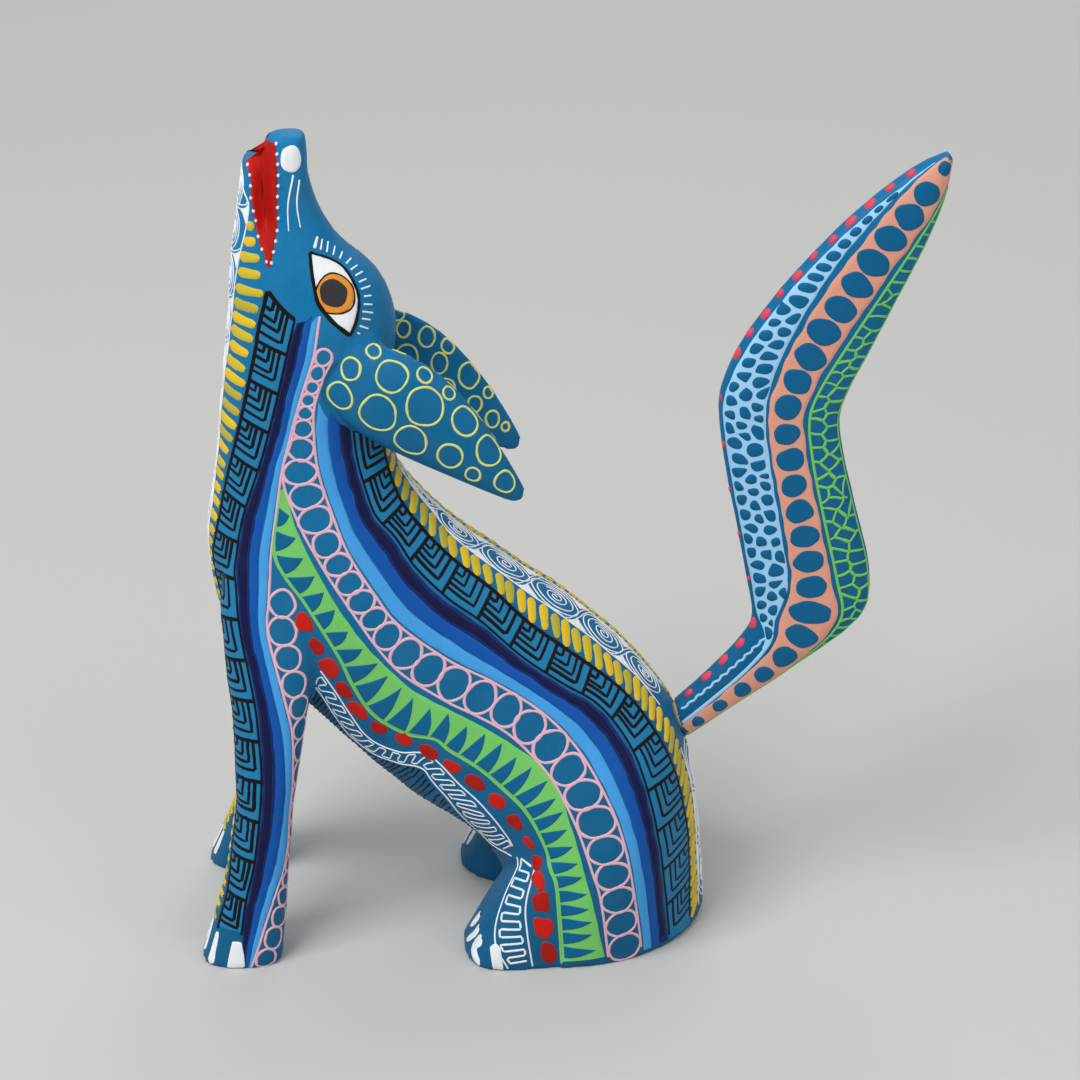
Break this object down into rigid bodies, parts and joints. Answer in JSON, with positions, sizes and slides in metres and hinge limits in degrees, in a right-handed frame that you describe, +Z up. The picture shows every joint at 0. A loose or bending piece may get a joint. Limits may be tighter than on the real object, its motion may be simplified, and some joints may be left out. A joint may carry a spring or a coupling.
{
  "type": "alebrije figure",
  "caption": "Hand-carved and painted wooden coyote sitting with its muzzle raised, with plug-in ears and a plug-in tail.",
  "frame": {"origin": "on the surface the figure sits on, under the middle of its bounding box", "axes": "+Z up, +X from the chest towards the tail, +Y across the figure, from its left side to its right side"},
  "size_m": [0.1312, 0.0522, 0.148],
  "materials": {
    "body_paint": "matt acrylic paint, brushed by hand over carved copal wood",
    "ear_paint": "matt acrylic paint, brushed by hand over carved copal wood",
    "tail_paint": "matt acrylic paint, brushed by hand over carved copal wood"
  },
  "bodies": {
    "figure": {"body": "body_paint", "ear_left": "ear_paint", "ear_right": "ear_paint"},
    "tail": {"tail": "tail_paint"}
  },
  "joints": [
    {"name": "tail_pull", "type": "slide", "parent": "figure", "child": "tail", "axis": [0.7431, 0, 0.6691], "range_m": [0, 0.0135]}
  ]
}
